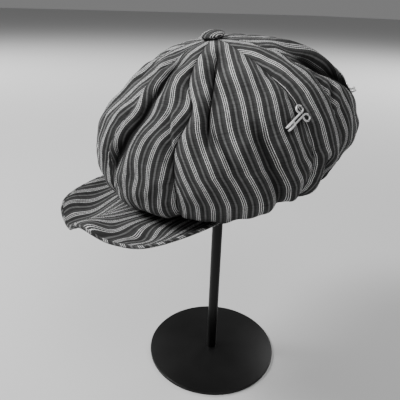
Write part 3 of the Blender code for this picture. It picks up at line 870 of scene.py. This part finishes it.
def add_group(tree, group, **links):
    """Place a node group and set or link its inputs by name."""
    node = tree.nodes.new("ShaderNodeGroup")
    node.node_tree = group
    for name, value in links.items():
        if isinstance(value, bpy.types.NodeSocket):
            tree.links.new(value, node.inputs[name])
        else:
            node.inputs[name].default_value = value
    return node


def fresh_material(name):
    """A new material with its Principled shader."""
    material = bpy.data.materials.new(name)
    material.use_nodes = True
    return material, material.node_tree, material.node_tree.nodes["Principled BSDF"]


def add_bump(tree, shader, height, distance, strength=1.0):
    """A Bump node that feeds the shader's Normal."""
    node = tree.nodes.new("ShaderNodeBump")
    node.inputs["Distance"].default_value = distance
    node.inputs["Strength"].default_value = strength
    tree.links.new(height, node.inputs["Height"])
    tree.links.new(node.outputs["Normal"], shader.inputs["Normal"])
    return node


def striped_cloth(name="striped cloth"):
    """Woven striped cloth on the piece's own cloth coordinates, darkened by painted shade."""
    if name in bpy.data.materials:
        return bpy.data.materials[name]
    look = bpy.context.scene.cloth_look
    material, tree, shader = fresh_material(name)
    cloth = tree.nodes.new("ShaderNodeUVMap")
    cloth.uv_map = "cloth"
    stripes = add_group(tree, stripe_group(), Cloth=cloth.outputs[0], Repeat=look.repeat)
    weave = add_group(tree, weave_group(), Cloth=cloth.outputs[0], Thread=look.thread)
    colour = tree.nodes.new("ShaderNodeVectorMath")
    colour.operation = "SCALE"
    tree.links.new(stripes.outputs["Color"], colour.inputs[0])
    tree.links.new(weave.outputs["Shade"], colour.inputs["Scale"])
    # painted shade: the base colour is darkened by each point's painted shade value
    hollow = tree.nodes.new("ShaderNodeAttribute")
    hollow.attribute_name = "hollow"
    shade = calc(tree, "MAXIMUM", calc(tree, "MULTIPLY_ADD", hollow.outputs["Fac"], -1.15, 1.0), 0.03)
    shade = mix_colour(tree, 1.0, colour.outputs[0], shade, "MULTIPLY")
    tree.links.new(shade, shader.inputs["Base Color"])
    raised = calc(tree, "MULTIPLY_ADD", stripes.outputs["Light"], 0.5, weave.outputs["Height"])
    add_bump(tree, shader, raised, 0.00025, 0.8)
    shader.inputs["Roughness"].default_value = 0.88
    shader.inputs["Specular IOR Level"].default_value = 0.06
    shader.inputs["Sheen Weight"].default_value = 0.02
    shader.inputs["Sheen Roughness"].default_value = 0.45
    return material


def plain_cloth(name, colour, thread):
    """Plain woven cloth in one colour, for the lining and the sweatband."""
    if name in bpy.data.materials:
        return bpy.data.materials[name]
    material, tree, shader = fresh_material(name)
    cloth = tree.nodes.new("ShaderNodeUVMap")
    cloth.uv_map = "cloth"
    weave = add_group(tree, weave_group(), Cloth=cloth.outputs[0], Thread=thread)
    dark = tuple(part * 0.6 for part in colour[:3]) + (1.0,)
    tone = mix_colour(tree, weave.outputs["Shade"], dark, tuple(colour))
    tree.links.new(tone, shader.inputs["Base Color"])
    add_bump(tree, shader, weave.outputs["Height"], 0.00015, 0.7)
    shader.inputs["Roughness"].default_value = 0.7
    shader.inputs["Sheen Weight"].default_value = 0.15
    return material


def black_metal():
    """Satin black paint over steel, with fine grain and faint wear."""
    name = "black metal"
    if name in bpy.data.materials:
        return bpy.data.materials[name]
    material, tree, shader = fresh_material(name)
    where = tree.nodes.new("ShaderNodeTexCoord").outputs["Object"]
    fine = noise(tree, where, 900.0, 2.0)
    broad = noise(tree, where, 14.0, 3.0)
    tone = ramp(tree, broad, ((0.30, 0.003), (0.70, 0.005)))
    tree.links.new(tone, shader.inputs["Base Color"])
    gloss = ramp(tree, broad, ((0.25, 0.30), (0.75, 0.40)))
    tree.links.new(gloss, shader.inputs["Roughness"])
    add_bump(tree, shader, fine, 0.00006, 0.35)
    shader.inputs["Specular IOR Level"].default_value = 0.22
    shader.inputs["Coat Weight"].default_value = 0.05
    shader.inputs["Coat Roughness"].default_value = 0.25
    return material


def bright_metal():
    """Polished wire with faint drawn lines, its near-white base colour painted brightness for its shine.
    """
    name = "bright metal"
    if name in bpy.data.materials:
        return bpy.data.materials[name]
    material, tree, shader = fresh_material(name)
    where = tree.nodes.new("ShaderNodeTexCoord").outputs["Object"]
    grain = noise(tree, where, 1500.0, 2.0)
    tone = ramp(tree, grain, ((0.3, 0.84), (0.7, 0.96)))
    tree.links.new(tone, shader.inputs["Base Color"])
    tree.links.new(ramp(tree, grain, ((0.2, 0.16), (0.8, 0.28))), shader.inputs["Roughness"])
    # only partly metallic, so the near-white base colour lights up as painted brightness in place of
    # reflections
    shader.inputs["Metallic"].default_value = 0.35
    return material


def floor_paint():
    """Plain pale floor."""
    material, tree, shader = fresh_material("pale floor")
    look = bpy.context.scene.stage_look
    where = tree.nodes.new("ShaderNodeTexCoord").outputs["Object"]
    soft = noise(tree, where, 3.0, 2.0)
    dark = tuple(part * 0.97 for part in look.floor[:3]) + (1.0,)
    tone = mix_colour(tree, soft, dark, tuple(look.floor))
    tree.links.new(tone, shader.inputs["Base Color"])
    shader.inputs["Roughness"].default_value = 0.65
    return material


# Pieces of the cap


def stripe_drift(number, down):
    """How far the stripes of a gore drift at levels on it, in metres."""
    return smooth(np.array(DRIFT_LEVELS), np.array(DRIFTS[number], float), down) / 1000.0


def make_panel(number):
    """One gore of the crown, in fine cloth, with its lining on the inside."""
    cap, _, look, _ = sizes()
    start = 0.018
    across = np.linspace(0.0, 1.0, cap.columns + 1)[None, :]
    down = (start + (1.0 - start) * np.linspace(0.0, 1.0, cap.rows + 1))[:, None]
    across, down = np.broadcast_arrays(across, down)
    plain, normals, relief, hollow = panel_points(number, across, down)
    outer = plain + normals * relief
    inner = outer - normals * cap.cloth
    slack = plain + normals * relief * FOLD_TAKE
    sideways = run_lengths(slack, 1)
    middle = sideways[:, cap.columns // 2][:, None]
    lengthwise = run_lengths(slack, 0)[:, cap.columns // 2][:, None] * np.ones_like(across)
    drift = stripe_drift(number, down)
    u = sideways - middle - drift
    uv = np.stack([u, lengthwise], -1)
    name = f"panel_{number + 1}"
    materials = [striped_cloth(), plain_cloth("lining", look.lining, 0.0005)]
    piece = wall(name, placed(outer), placed(inner), uv, materials)
    paint_shade(piece, np.tile(hollow.ravel(), 2))
    carry(piece, "striped_cloth", f"crown_panel_{number + 1}")
    return piece


class CAP_OT_crown(bpy.types.Operator):
    """Make the gores of the crown"""

    bl_idname = "cap.crown"
    bl_label = "Crown gores"

    def execute(self, context):
        for number in range(len(SEAMS)):
            make_panel(number)
        return {"FINISHED"}


def ring_sheet(name, line, low, high, thick, materials):
    """A closed upright ring of cloth from a line of points and two heights."""
    steps, rows = len(line), 10
    heights = np.linspace(high, low, rows + 1)
    inward = -np.stack([line[:, 0], line[:, 1]], -1)
    inward /= np.linalg.norm(inward, axis=1, keepdims=True)
    rings = []
    for side in (0.0, thick):
        for height in heights:
            ring = np.zeros((steps, 3))
            ring[:, :2] = line[:, :2] + inward * side
            ring[:, 2] = height
            rings.append(ring)
    order = rings[:rows + 1] + rings[rows + 1:][::-1]
    grid = np.stack(order)
    count = len(order)
    faces = grid_faces(count - 1, steps, closed=True)
    last = (count - 1) * steps
    index = np.arange(steps)
    after = (index + 1) % steps
    seal = np.stack([last + index, index, after, last + after], -1)
    faces = np.concatenate([faces, seal])
    around = run_lengths(np.concatenate([line, line[:1]])[None], 1)[0][:-1]
    u, v = np.meshgrid(around, run_lengths(grid[:, :1], 0)[:, 0])
    uv = np.stack([v, u], -1).reshape(-1, 2)
    return mesh_piece(name, placed(grid.reshape(-1, 3)), faces, uv, materials)


class CAP_OT_band(bpy.types.Operator):
    """Make the headband and the sweatband inside it"""

    bl_idname = "cap.band"
    bl_label = "Headband"

    def execute(self, context):
        cap, _, look, _ = sizes()
        edge = float(crown_base(0.0, 1.0)[2])
        turns = np.linspace(0.0, 360.0, 224, endpoint=False)
        line = band_points(turns)
        high, low = edge + cap.band_above, edge - cap.band_below
        band = ring_sheet("band", line, low, high, cap.band_wall * 0.5, [striped_cloth()])
        carry(band, "striped_cloth", "headband")
        inside = band_points(turns, -cap.band_wall * 0.62)
        ribbon = plain_cloth("sweatband", (0.03, 0.03, 0.03, 1.0), 0.0009)
        strip = ring_sheet("sweatband", inside, low + 0.0015, high, cap.band_wall * 0.34, [ribbon])
        carry(strip, "striped_cloth")
        return {"FINISHED"}


def peak_places(side, out):
    """Plain and waved points of the peak's upper face, in the cap's frame."""
    cap, peak, _, _ = sizes()
    half_span = np.degrees(peak.span) / 2
    root_z = float(crown_base(0.0, 1.0)[2]) - cap.band_below * 0.55
    root = band_points(side * half_span, 0.0003)
    root[..., 2] = root_z
    end = band_points(np.array(half_span), 0.0003)
    front = band_points(np.array(0.0), 0.0003)
    angle = side * pi / 2
    rim = np.zeros_like(root)
    rim[..., 0] = peak.width / 2 * np.abs(np.sin(angle)) ** 0.75 * np.sign(side)
    rim[..., 1] = end[1] + (front[1] - peak.reach - end[1]) * np.cos(angle) ** 0.75
    rim[..., 2] = root_z
    place = root + (rim - root) * out[..., None]
    span = np.linalg.norm(rim - root, axis=-1)
    away = (rim - root) / span[..., None]
    free = peak.reach * ease(out / 0.4) * (1.0 - side ** 4)
    flat = place.copy()
    place[..., 2] -= peak.fall * out * span / peak.reach
    for row in PEAK_WAVES:
        part = free * bump(side - row.side, row.side_size) * bump(out - row.reach, row.reach_size)
        place[..., 2] += part * row.lift
        place += part[..., None] * row.pull * away
    return flat, place


def grid_normals(points):
    """Unit normals of a grid of points, on the side that rows crossed with columns give."""
    rows = np.gradient(points, axis=0)
    columns = np.gradient(points, axis=1)
    normal = np.cross(rows, columns)
    return normal / np.maximum(np.linalg.norm(normal, axis=-1, keepdims=True), 1e-12)


class CAP_OT_peak(bpy.types.Operator):
    """Make the padded peak and its piped edge"""

    bl_idname = "cap.peak"
    bl_label = "Peak"

    def execute(self, context):
        _, peak, _, _ = sizes()
        reach = 0.985
        side = reach * np.linspace(-1.0, 1.0, 181)[None, :]
        out = np.linspace(0.0, 1.0, 57)[:, None]
        side, out = np.broadcast_arrays(side, out)
        flat, upper = peak_places(side, out)
        normal = grid_normals(upper)
        thin = 1.0 - 0.35 * ease((out - 0.93) / 0.07)
        lower = upper - normal * (peak.wall * thin)[..., None]
        bent = sum(
            row.shift * bump(side - row.side, row.side_size) * bump(out - row.reach, row.reach_size)
            for row in PEAK_BENDS
        )
        uv = np.stack([(flat[..., 0] + bent) * peak.crowd, -flat[..., 1]], -1)
        piece = wall("peak_pad", placed(upper), placed(lower), uv, [striped_cloth()])
        # painted shade on the peak: strong near the root, under the crown's overhang, and 0.16 over the
        # whole peak
        paint_shade(piece, np.tile((0.16 + 0.72 * ease((0.40 - out) / 0.28)).ravel(), 2))
        carry(piece, "striped_cloth", "peak")
        rim = upper[-1] - normal[-1] * peak.wall * 0.35
        self.pipe(placed(rim), peak.piping / 2)
        return {"FINISHED"}

    def pipe(self, line, radius):
        """A round cord of cloth cut on the slant, along the rim."""
        away = np.gradient(line, axis=0)
        away /= np.linalg.norm(away, axis=1, keepdims=True)
        side = np.cross(away, np.array(UP))
        side /= np.linalg.norm(side, axis=1, keepdims=True)
        over = np.cross(side, away)
        steps = 12
        angles = np.linspace(0.0, 2 * pi, steps, endpoint=False)
        wide, tall = (wave(angles)[None, :, None] for wave in (np.cos, np.sin))
        points = line[:, None] + (wide * side[:, None] + tall * over[:, None]) * radius
        faces = grid_faces(len(line) - 1, steps, closed=True)
        count = len(line) * steps
        caps = [list(range(steps))[::-1], list(range(count - steps, count))]
        far = run_lengths(line[None], 1)[0]
        u = (far[:, None] + angles[None, :] * radius) * 0.7071
        v = (far[:, None] - angles[None, :] * radius) * 0.7071
        faces = [tuple(face) for face in faces.tolist()] + [tuple(face) for face in caps]
        uv = np.stack([u, v], -1).reshape(-1, 2)
        piece = mesh_piece("peak_piping", points.reshape(-1, 3), faces, uv, [striped_cloth()])
        carry(piece, "striped_cloth")


class CAP_OT_button(bpy.types.Operator):
    """Make the covered button"""

    bl_idname = "cap.button"
    bl_label = "Button"

    def execute(self, context):
        cap, _, _, _ = sizes()
        low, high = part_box("crown_button")
        deselect()
        bpy.ops.mesh.primitive_uv_sphere_add(segments=64, ring_count=32, radius=cap.button / 2)
        piece = bpy.context.object
        lower = cap.button_height * 0.4
        seat = cap_place().inverted() @ ((low + high) / 2)
        for vertex in piece.data.vertices:
            height = vertex.co.z / (cap.button / 2)
            tall = cap.button_height - lower if height > 0 else lower
            flat = 0.86 if height < 0 else 1.0
            vertex.co.z = tall * height
            if height < -0.5:
                turn = np.arctan2(vertex.co.y, vertex.co.x)
                vertex.co.z += 0.0003 * sin(14 * turn)
            vertex.co.z *= flat
        layer = piece.data.uv_layers.new(name="cloth")
        for loop in piece.data.loops:
            point = piece.data.vertices[loop.vertex_index].co
            layer.data[loop.index].uv = (point.x * 1.05 + 0.003, point.y * 1.05)
        middle = seat.z - cap.button_height / 2 + lower
        piece.data.transform(cap_place() @ Matrix.Translation((seat.x, seat.y, middle)))
        piece.data.shade_smooth()
        settle(piece, "button", striped_cloth())
        # painted shade: the whole button is darkened evenly
        paint_shade(piece, np.full(len(piece.data.vertices), 0.15))
        carry(piece, "striped_cloth", "crown_button")
        return {"FINISHED"}


def hook_route():
    """Middle line of a hook's wire, level, its loops at the start and its bill to -X."""
    half, loop, curl, reach, bill = 0.0015, 0.0031, 0.0017, 0.021, 0.0040
    side = []
    for index in range(25):
        angle = radians(310.0 * (1.0 - index / 24))
        side.append(Vector((loop * sin(angle), half + loop * (1.0 - cos(angle)), 0.0)))
    for index in range(1, 8):
        side.append(Vector((-reach * index / 7, half, 0.0)))
    for index in range(1, 11):
        angle = pi * index / 10
        side.append(Vector((-reach - curl * sin(angle), half, curl * (1.0 - cos(angle)))))
    tip = bill - reach
    for index in range(8):
        angle = pi / 2 * index / 8
        side.append(Vector((tip + half * sin(angle), half * cos(angle), 2 * curl)))
    mirrored = [Vector((point.x, -point.y, point.z)) for point in reversed(side)]
    return side + [Vector((tip + half, 0.0, 2 * curl))] + mirrored


class CAP_OT_hooks(bpy.types.Operator):
    """Make the wire hooks and the stitches that hold them"""

    bl_idname = "cap.hooks"
    bl_label = "Wire hooks"

    def execute(self, context):
        cloth = tree_of([bpy.data.objects[f"panel_{number + 1}"] for number in range(len(SEAMS))])
        place = cap_place()
        for hook in HOOKS:
            self.make(hook, cloth, place)
        return {"FINISHED"}

    def make(self, hook, cloth, place):
        wire = 0.0009
        spot, up, run = hook_frame(hook)
        turned = Matrix((-run, up.cross(-run), up)).transposed()
        points = [place @ (spot + up * HOOK_ABOVE + turned @ point) for point in hook_route()]
        way = place.to_3x3() @ up
        hits = [cloth.ray_cast(point, -way) for point in points]
        drop = min(hit[3] for hit in hits if hit[0] is not None) - wire - 0.0002
        deselect()
        bpy.ops.curve.primitive_nurbs_path_add()
        curve = bpy.context.object
        curve.data.splines.clear()
        spline = curve.data.splines.new("POLY")
        spline.points.add(len(points) - 1)
        for knot, point in zip(spline.points, points):
            knot.co = (*(point - way * drop), 1.0)
        curve.data.bevel_depth = wire
        curve.data.bevel_resolution = 4
        curve.data.use_fill_caps = True
        bpy.ops.object.convert(target="MESH")
        piece = bpy.context.object
        piece.data.shade_smooth()
        settle(piece, hook.name + "_wire", bright_metal())
        carry(piece, "bright_metal", hook.name)
        centre = turned.to_4x4()
        stitches = []
        for stitch in STITCHES:
            deselect()
            bpy.ops.mesh.primitive_torus_add(
                major_segments=20, minor_segments=8, major_radius=0.0013, minor_radius=0.00025,
            )
            ring = bpy.context.object
            lift = spot + up * HOOK_ABOVE + turned @ Vector((stitch.along, stitch.across, 0.0))
            turn = Matrix.Rotation(stitch.turn, 4, "Z") @ Matrix.Rotation(pi / 2, 4, "X")
            ring.data.transform(turn)
            ring.data.transform(place @ Matrix.Translation(lift) @ centre)
            ring.data.transform(Matrix.Translation(-way * drop))
            stitches.append(ring)
        deselect()
        for ring in stitches:
            ring.select_set(True)
        bpy.context.view_layer.objects.active = stitches[0]
        bpy.ops.object.join()
        thread = bpy.context.object
        thread.data.uv_layers.new(name="cloth")
        thread.data.shade_smooth()
        black = plain_cloth("thread", (0.02, 0.02, 0.02, 1.0), 0.0004)
        settle(thread, hook.name + "_stitches", black)
        carry(thread, "striped_cloth")


# Pieces of the stand


def pick_edges(piece, wanted):
    """Select the edges whose two ends a test accepts, in edit mode."""
    bpy.ops.object.mode_set(mode="EDIT")
    bpy.ops.mesh.select_mode(type="EDGE")
    bpy.ops.mesh.select_all(action="DESELECT")
    body = bmesh.from_edit_mesh(piece.data)
    for edge in body.edges:
        if all(wanted(vertex.co) for vertex in edge.verts):
            edge.select_set(True)
    bmesh.update_edit_mesh(piece.data)


def rounded_disc(name, width, height, bottom, edge, sides):
    """A round plate with its upper edge rounded."""
    deselect()
    bpy.ops.mesh.primitive_cylinder_add(vertices=sides, radius=width / 2, depth=height)
    piece = bpy.context.object
    pick_edges(piece, lambda point: point.z > height / 2 - 1e-5)
    bpy.ops.mesh.bevel(offset=edge, segments=4)
    bpy.ops.object.mode_set(mode="OBJECT")
    piece.data.transform(Matrix.Translation((0.0, 0.0, bottom + height / 2)))
    settle(piece, name, black_metal())
    bpy.ops.object.shade_smooth_by_angle(angle=radians(35.0))
    return piece


class STAND_OT_stand(bpy.types.Operator):
    """Make the foot, the post and the domed plate of the stand"""

    bl_idname = "cap.stand"
    bl_label = "Stand"

    def execute(self, context):
        stand = context.scene.stand_sizes
        base = rounded_disc("foot", stand.base, stand.base_thickness, 0.0, stand.edge, 192)
        carry(base, "black_metal", "stand_base")
        post_bottom = stand.base_thickness + stand.gap
        post = rounded_disc("post", stand.post, stand.post_length, post_bottom, 0.0004, 64)
        carry(post, "black_metal", "stand_post")
        self.plate(stand, post_bottom + stand.post_length + stand.gap)
        return {"FINISHED"}

    def plate(self, stand, bottom):
        deselect()
        bpy.ops.mesh.primitive_uv_sphere_add(segments=96, ring_count=48, radius=stand.top / 2)
        piece = bpy.context.object
        squash = 2 * stand.top_dome / stand.top
        piece.data.transform(Matrix.Diagonal((1.0, 1.0, squash, 1.0)))
        bpy.ops.object.mode_set(mode="EDIT")
        bpy.ops.mesh.select_all(action="SELECT")
        bpy.ops.mesh.bisect(plane_co=(0, 0, 0.00001), plane_no=(0, 0, 1), use_fill=True, clear_inner=True)
        bpy.ops.mesh.extrude_region_move(TRANSFORM_OT_translate={"value": (0, 0, -stand.top_rim)})
        bpy.ops.mesh.select_all(action="SELECT")
        bpy.ops.mesh.normals_make_consistent(inside=False)
        bpy.ops.object.mode_set(mode="OBJECT")
        piece.data.transform(Matrix.Translation((0.0, 0.0, bottom + stand.top_rim)))
        settle(piece, "plate", black_metal())
        bpy.ops.object.shade_smooth_by_angle(angle=radians(35.0))
        carry(piece, "black_metal", "stand_top")


# Stage


class STAGE_OT_stage(bpy.types.Operator):
    """Make the floor, the lights and the camera"""

    bl_idname = "cap.stage"
    bl_label = "Stage"

    def execute(self, context):
        look = context.scene.stage_look
        deselect()
        bpy.ops.mesh.primitive_plane_add(size=60.0)
        floor = bpy.context.object
        floor.name = "floor"
        floor.data.materials.append(floor_paint())
        world = bpy.data.worlds.new("soft light")
        world.use_nodes = True
        background = world.node_tree.nodes["Background"]
        background.inputs["Color"].default_value = (1.0, 1.0, 1.0, 1.0)
        background.inputs["Strength"].default_value = look.sky
        context.scene.world = world
        for light in LIGHTS:
            self.light(light, getattr(look, light.power))
        self.camera()
        return {"FINISHED"}

    def light(self, light, energy):
        data = bpy.data.lights.new(light.name, "AREA")
        data.shape = "DISK"
        data.size = light.size
        data.energy = energy
        lamp = bpy.data.objects.new(light.name, data)
        lamp.location = light.place
        lamp.rotation_mode = "QUATERNION"
        lamp.rotation_quaternion = (Vector(light.target) - Vector(light.place)).to_track_quat("-Z", "Y")
        bpy.context.scene.collection.objects.link(lamp)

    def camera(self):
        side, dip, lean = radians(CAMERA_SIDE), radians(CAMERA_DIP), radians(CAMERA_LEAN)
        back = Vector((sin(side) * cos(dip), -cos(side) * cos(dip), sin(dip)))
        level = Vector((cos(side), sin(side), 0.0))
        over = back.cross(level)
        right = level * cos(lean) + over * sin(lean)
        above = over * cos(lean) - level * sin(lean)
        data = bpy.data.cameras.new("view")
        data.sensor_width = 36.0
        data.lens = CAMERA_LENS
        data.clip_start, data.clip_end = 0.01, 50.0
        camera = bpy.data.objects.new("view", data)
        turned = Matrix((right, above, back)).transposed().to_4x4()
        camera.matrix_world = Matrix.Translation(CAMERA_PLACE) @ turned
        bpy.context.scene.collection.objects.link(camera)
        bpy.context.scene.camera = camera


class CAP_PT_panel(bpy.types.Panel):
    """The cap's pieces and their settings"""

    bl_label = "Newsboy cap"
    bl_idname = "CAP_PT_panel"
    bl_space_type = "VIEW_3D"
    bl_region_type = "UI"
    bl_category = "Cap"

    def draw(self, context):
        for operator in OPERATORS:
            self.layout.operator(operator.bl_idname)
        for name in SETTINGS:
            group = getattr(context.scene, name)
            box = self.layout.box()
            for key in group.__annotations__:
                box.prop(group, key)


OPERATORS = (
    CAP_OT_crown, CAP_OT_band, CAP_OT_peak, CAP_OT_button, CAP_OT_hooks, STAND_OT_stand,
    STAGE_OT_stage,
)
SETTINGS = {
    "cap_sizes": CapSizes,
    "peak_sizes": PeakSizes,
    "cloth_look": ClothLook,
    "stand_sizes": StandSizes,
    "stage_look": StageLook,
}


def register():
    """Register the settings, the operators and the panel."""
    for name, group in SETTINGS.items():
        bpy.utils.register_class(group)
        setattr(bpy.types.Scene, name, PointerProperty(type=group))
    for operator in OPERATORS:
        bpy.utils.register_class(operator)
    bpy.utils.register_class(CAP_PT_panel)


def unregister():
    """Take everything back off the list."""
    bpy.utils.unregister_class(CAP_PT_panel)
    for operator in reversed(OPERATORS):
        bpy.utils.unregister_class(operator)
    for name, group in SETTINGS.items():
        delattr(bpy.types.Scene, name)
        bpy.utils.unregister_class(group)


def main():
    """Build every piece in order."""
    register()
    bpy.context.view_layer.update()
    bpy.ops.cap.stand()
    bpy.ops.cap.crown()
    bpy.ops.cap.band()
    bpy.ops.cap.peak()
    bpy.ops.cap.button()
    bpy.ops.cap.hooks()
    bpy.ops.cap.stage()


if __name__ == "__main__":
    main()
